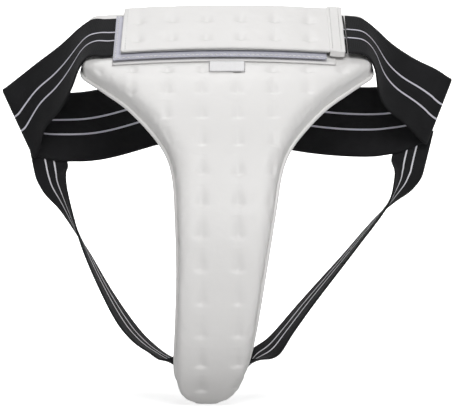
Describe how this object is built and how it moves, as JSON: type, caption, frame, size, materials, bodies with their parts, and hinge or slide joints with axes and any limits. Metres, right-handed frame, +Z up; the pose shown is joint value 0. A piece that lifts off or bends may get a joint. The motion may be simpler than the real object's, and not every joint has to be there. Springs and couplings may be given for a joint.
{
  "type": "groin protector",
  "caption": "Padded T-shaped groin shield with a dented white cover, elastic waist belt with hook-and-loop closure strap and elastic leg straps.",
  "frame": {"origin": "the middle of the rear face of the belt's rear run, which is the mount belt_rear_face", "axes": "+X to the right as seen from the front, +Y from the shield towards the rear run of the belt, +Z up from the shield's tip to its wide top"},
  "size_m": [0.3212, 0.1454, 0.2704],
  "materials": {
    "cover_leather": "smooth white synthetic leather, soft sheen",
    "closure_leather": "smooth white synthetic leather with round dents",
    "padding_foam": "closed-cell foam, matte",
    "shell_plastic": "moulded polyethylene",
    "lining_cloth": "brushed white lining cloth",
    "loop_cloth": "pale brushed loop cloth",
    "hook_plastic": "white nylon hooks",
    "elastic": "black woven elastic with two white lines",
    "thread": "white sewing thread",
    "black_thread": "black sewing thread",
    "tag_cloth": "blank white satin tape"
  },
  "bodies": {
    "shield": {"front_cover": "cover_leather", "outer_foam": "padding_foam", "cup_shell": "shell_plastic", "inner_foam": "padding_foam", "back_lining": "lining_cloth", "edge_piping": "cover_leather", "closure_panel": "cover_leather", "loop_tape": "loop_cloth", "panel_stitching": "thread", "waistband": "elastic", "waistband_fold": "elastic", "left_strap_top": "elastic", "left_strap_foot": "elastic", "right_strap_top": "elastic", "right_strap_foot": "elastic", "strap_bartacks": "black_thread", "anchor_patch": "cover_leather"},
    "right_arm": {"waistband_arm": "elastic"},
    "closure_strap": {"strap_face": "closure_leather", "strap_lining": "lining_cloth", "hook_tape": "hook_plastic", "strap_hem": "closure_leather", "elastic_end": "elastic", "strap_stitching": "thread"},
    "left_leg": {"left_leg_strap": "elastic"},
    "right_leg": {"right_leg_strap": "elastic"},
    "tag": {"size_tag": "tag_cloth"}
  },
  "joints": [
    {"name": "belt_open", "type": "hinge", "parent": "shield", "child": "right_arm", "pos_m": [0.14829, -0.0035, -0.0052], "axis": [0.3576, 0, 0.9339], "range_deg": [0, 100], "deforming": ["waistband_fold"]},
    {"name": "closure_peel", "type": "hinge", "parent": "right_arm", "child": "closure_strap", "pos_m": [0.08196, -0.0446, 0.04652], "axis": [0, 0.7986, 0.6018], "range_deg": [0, 140]},
    {"name": "left_leg_swing", "type": "hinge", "parent": "shield", "child": "left_leg", "pos_m": [-0.12474, -0.00067, -0.04907], "axis": [0.4908, -0.5354, -0.6874], "range_deg": [-25, 35], "stiffness_Nm_per_rad": 0.004},
    {"name": "right_leg_swing", "type": "hinge", "parent": "shield", "child": "right_leg", "pos_m": [0.12815, -0.00086, -0.04623], "axis": [-0.5645, -0.5064, -0.6519], "range_deg": [-35, 25], "stiffness_Nm_per_rad": 0.004},
    {"name": "tag_flip", "type": "hinge", "parent": "shield", "child": "tag", "pos_m": [0, -0.07158, 0.02366], "axis": [-1, 0, 0], "range_deg": [0, 80]}
  ]
}
